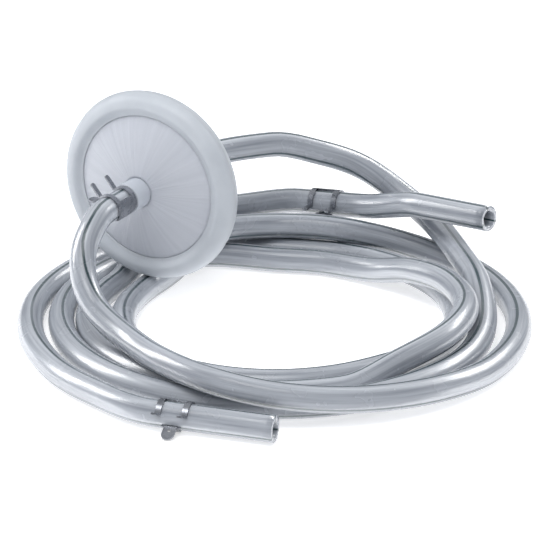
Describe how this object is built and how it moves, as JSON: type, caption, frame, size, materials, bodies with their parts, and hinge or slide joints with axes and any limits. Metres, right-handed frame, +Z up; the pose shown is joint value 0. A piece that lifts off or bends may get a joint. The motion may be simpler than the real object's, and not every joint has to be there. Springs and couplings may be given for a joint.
{
  "type": "siphon priming pump with hoses",
  "caption": "Round flexible hand-squeeze priming pump with inline check valves, clear transfer hoses on its barbed spigots and spring hose clamps, for starting a siphon.",
  "frame": {"origin": "centre of the pump body on its flow axis, midway between the two faces", "axes": "+Y along the flow axis towards the rear (inlet) spigot, +Z up; the hoses lie on the plane z = -0.0606"},
  "size_m": [0.249, 0.264, 0.1089],
  "materials": {
    "pe_shell": "milky translucent polyethylene, satin",
    "pe_face": "thin milky translucent polyethylene, satin",
    "pe_hub": "milky translucent polyethylene, satin",
    "seat_rubber": "soft matt",
    "valve_plastic": "smooth",
    "hose_vinyl": "clear flexible vinyl, glossy",
    "spring_steel": "rolled spring steel, bright edges"
  },
  "bodies": {
    "pump_and_hoses": {"front_rim_shell": "pe_shell", "rear_rim_shell": "pe_shell", "front_hose_coil": "hose_vinyl", "front_hose_free_end": "hose_vinyl", "rear_hose_coil": "hose_vinyl", "rear_hose_free_end": "hose_vinyl"},
    "front_face": {"front_flex_face": "pe_face", "front_hub_spigot": "pe_hub", "outlet_valve_seat": "seat_rubber", "outlet_valve_cage": "valve_plastic", "front_hose_cuff": "hose_vinyl", "front_hose_lead": "hose_vinyl", "front_spigot_clamp": "spring_steel"},
    "rear_face": {"rear_flex_face": "pe_face", "rear_hub_spigot": "pe_hub", "inlet_valve_seat": "seat_rubber", "inlet_valve_cage": "valve_plastic", "rear_hose_cuff": "hose_vinyl", "rear_hose_lead": "hose_vinyl", "rear_spigot_clamp": "spring_steel"},
    "outlet_ball": {"outlet_valve_ball": "valve_plastic"},
    "inlet_ball": {"inlet_valve_ball": "valve_plastic"},
    "front_clamp": {"front_end_clamp": "spring_steel"},
    "rear_clamp": {"rear_end_clamp": "spring_steel"}
  },
  "joints": [
    {"name": "front_face_press", "type": "slide", "parent": "pump_and_hoses", "child": "front_face", "axis": [0, 1, 0], "range_m": [0, 0.004], "stiffness_N_per_m": 1500, "deforming": ["front_flex_face", "front_hose_lead"]},
    {"name": "rear_face_press", "type": "slide", "parent": "pump_and_hoses", "child": "rear_face", "axis": [0, -1, 0], "range_m": [0, 0.004], "stiffness_N_per_m": 1500, "deforming": ["rear_flex_face", "rear_hose_lead"]},
    {"name": "outlet_ball_lift", "type": "slide", "parent": "front_face", "child": "outlet_ball", "axis": [0, -1, 0], "range_m": [0, 0.0015]},
    {"name": "inlet_ball_lift", "type": "slide", "parent": "rear_face", "child": "inlet_ball", "axis": [0, -1, 0], "range_m": [0, 0.0015]},
    {"name": "front_clamp_slide", "type": "slide", "parent": "pump_and_hoses", "child": "front_clamp", "axis": [0.9774, 0.2113, 0], "range_m": [0, 0.036]},
    {"name": "rear_clamp_slide", "type": "slide", "parent": "pump_and_hoses", "child": "rear_clamp", "axis": [0.993, 0.0919, 0.0736], "range_m": [-0.004, 0.004]}
  ]
}
